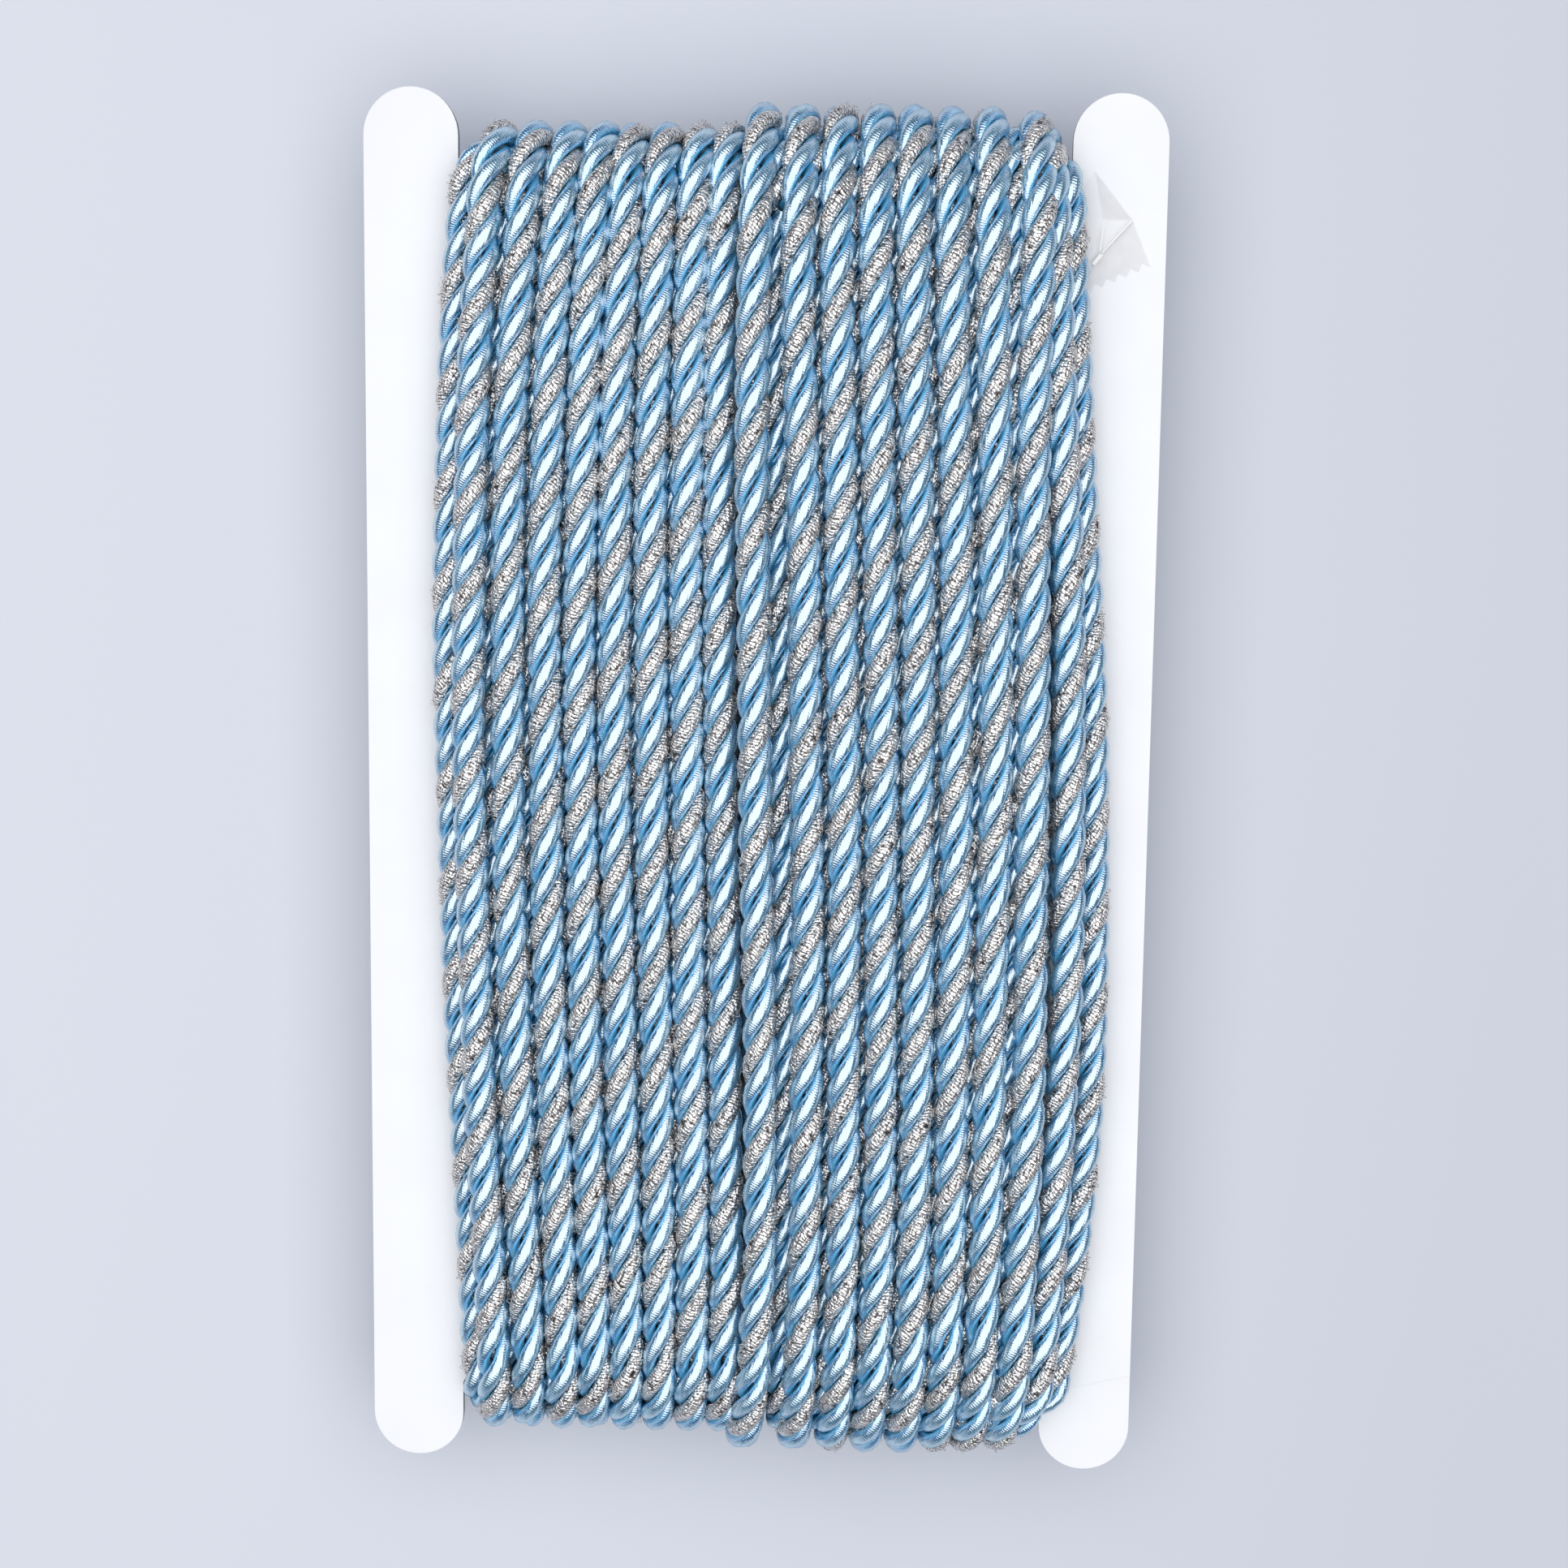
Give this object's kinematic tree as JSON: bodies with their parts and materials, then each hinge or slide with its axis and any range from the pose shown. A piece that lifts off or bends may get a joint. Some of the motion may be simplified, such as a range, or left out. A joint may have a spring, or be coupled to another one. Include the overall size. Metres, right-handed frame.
{
  "type": "twisted cord trim on winding card",
  "caption": "Long twisted cord trim wound in layers round a flat notched card with four round lobes.",
  "frame": {"origin": "centre of the bounding box's bottom face, on the surface the pack lies on", "axes": "+Z out of the card's front face, +Y along the card's long side towards the end where the film is, +X across the card"},
  "size_m": [0.112, 0.1988, 0.0271],
  "materials": {
    "card": "smooth white coated board",
    "cord": "two light blue satin strands and one silver metallic strand, twisted",
    "film": "clear adhesive film"
  },
  "bodies": {
    "root": {"winding_card": "card", "wound_cord": "cord", "end_film": "film"}
  },
  "joints": []
}
